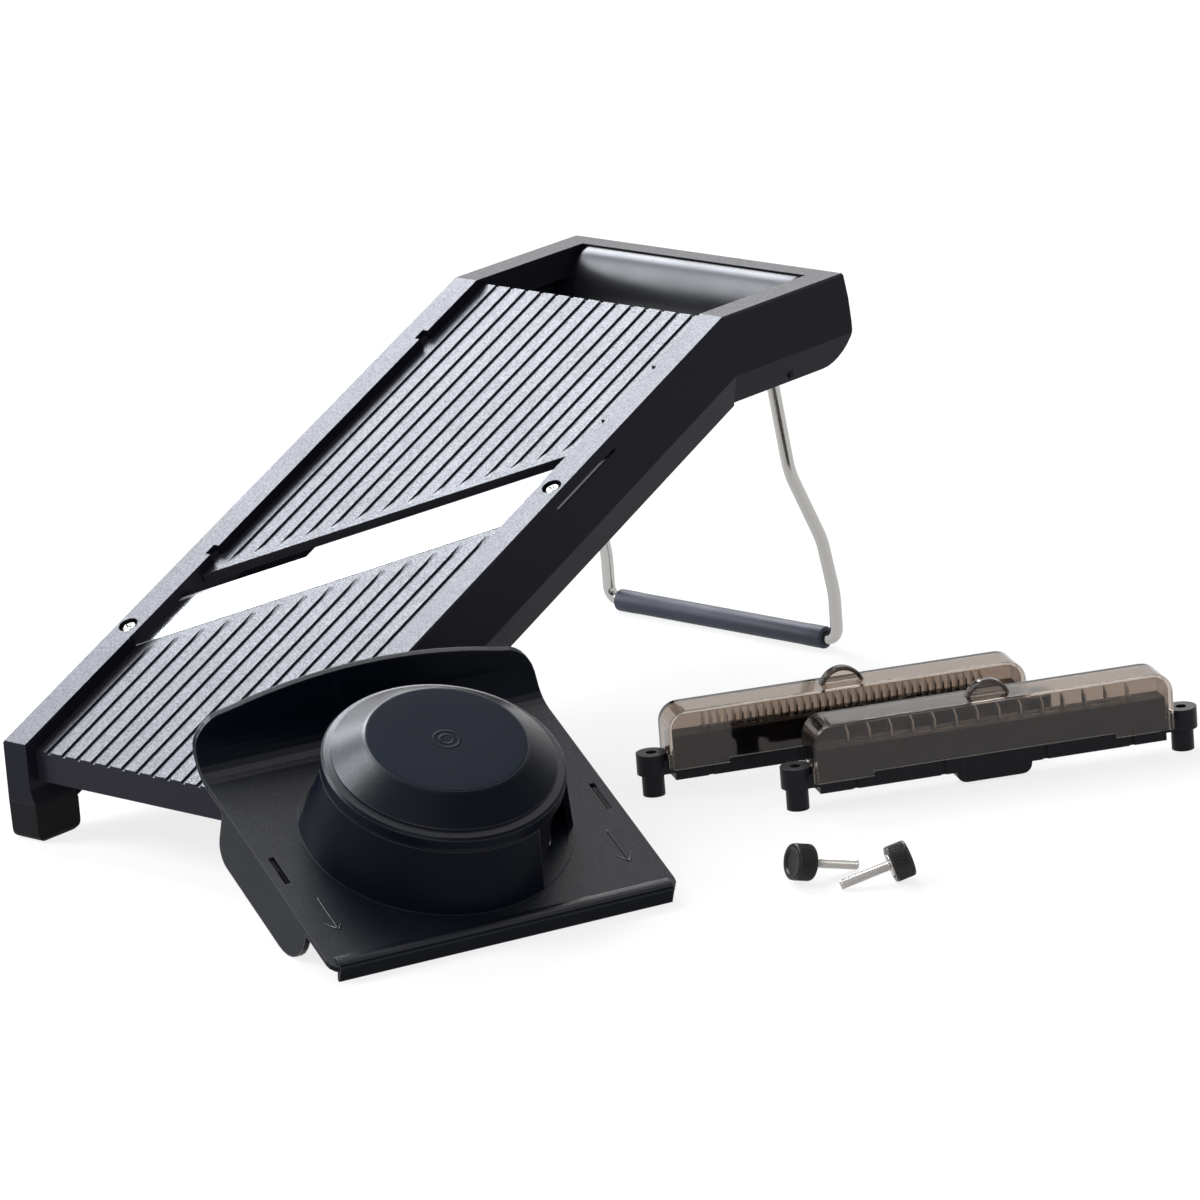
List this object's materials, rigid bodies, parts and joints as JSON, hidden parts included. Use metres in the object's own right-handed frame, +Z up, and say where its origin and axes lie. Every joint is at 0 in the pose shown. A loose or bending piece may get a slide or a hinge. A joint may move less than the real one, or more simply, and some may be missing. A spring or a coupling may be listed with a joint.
{
  "type": "mandoline slicer set",
  "caption": "Sloping kitchen mandoline slicer on a folding wire stand, with diagonal blade, hand guard, comb cassettes with covers and thumb screws.",
  "frame": {"origin": "middle of the whole set's footprint on the table", "axes": "+Z up; +Y from the slicer's low end to its handle; +X to the right, seen from the low end"},
  "size_m": [0.3538, 0.4184, 0.1626],
  "materials": {
    "black_plastic": "satin",
    "grey_rubber": "matte",
    "foot_rubber": "matte",
    "blade_steel": "polished",
    "bright_steel": "polished",
    "brass": "satin",
    "guard_plastic": "satin",
    "smoke_cover": "gloss",
    "knob_plastic": "satin"
  },
  "bodies": {
    "slicer": {"frame": "black_plastic", "lower_table": "black_plastic", "main_blade": "blade_steel", "blade_screws": "bright_steel", "foot_left": "foot_rubber", "foot_right": "foot_rubber", "thread_inserts": "brass"},
    "stand": {"stand_wire": "bright_steel", "stand_sleeve": "grey_rubber"},
    "thickness_screw": {"thickness_dial": "knob_plastic", "lead_screw": "bright_steel", "retaining_clip": "bright_steel"},
    "feed_table": {"feed_table": "black_plastic"},
    "guard": {"guard_plate": "guard_plastic"},
    "guard_pusher": {"guard_cap": "guard_plastic", "guard_spikes": "bright_steel"},
    "coarse_cassette": {"coarse_holder": "black_plastic", "coarse_teeth": "blade_steel"},
    "coarse_cover": {"coarse_cover": "smoke_cover"},
    "fine_cassette": {"fine_holder": "black_plastic", "fine_teeth": "blade_steel"},
    "fine_cover": {"fine_cover": "smoke_cover"},
    "thumb_screw_a": {"thumb_head_a": "knob_plastic", "thumb_shank_a": "bright_steel"},
    "thumb_screw_b": {"thumb_head_b": "knob_plastic", "thumb_shank_b": "bright_steel"}
  },
  "joints": [
    {"name": "stand_swing", "type": "hinge", "parent": "slicer", "child": "stand", "pos_m": [-0.10287, 0.16642, 0.13802], "axis": [1, 0, 0], "range_deg": [-84.5, 0]},
    {"name": "thickness_turn", "type": "hinge", "parent": "slicer", "child": "thickness_screw", "pos_m": [-0.10287, 0.09114, 0.11317], "axis": [0, -0.3987, 0.9171], "range_deg": [0, 630]},
    {"name": "feed_table_lift", "type": "slide", "parent": "slicer", "child": "feed_table", "axis": [0, -0.3987, 0.9171], "range_m": [-0.007, 0]},
    {"name": "guard_lift", "type": "slide", "parent": "slicer", "child": "guard", "axis": [0, 0, 1], "range_m": [0, 0.12]},
    {"name": "pusher_slide", "type": "slide", "parent": "guard", "child": "guard_pusher", "axis": [0.3678, -0.1456, 0.9184], "range_m": [0, 0.022]},
    {"name": "coarse_cassette_lift", "type": "slide", "parent": "slicer", "child": "coarse_cassette", "axis": [0, 0, 1], "range_m": [0, 0.1]},
    {"name": "coarse_cover_lift", "type": "slide", "parent": "coarse_cassette", "child": "coarse_cover", "axis": [0, 0, 1], "range_m": [0, 0.04]},
    {"name": "fine_cassette_lift", "type": "slide", "parent": "slicer", "child": "fine_cassette", "axis": [0, 0, 1], "range_m": [0, 0.1]},
    {"name": "fine_cover_lift", "type": "slide", "parent": "fine_cassette", "child": "fine_cover", "axis": [0, 0, 1], "range_m": [0, 0.04]},
    {"name": "thumb_screw_a_lift", "type": "slide", "parent": "slicer", "child": "thumb_screw_a", "axis": [0, 0, 1], "range_m": [0, 0.08]},
    {"name": "thumb_screw_b_lift", "type": "slide", "parent": "slicer", "child": "thumb_screw_b", "axis": [0, 0, 1], "range_m": [0, 0.08]}
  ],
  "couplings": [
    {"joint": "thickness_turn", "follows": "feed_table_lift", "rad_per_m": -1570.8}
  ]
}
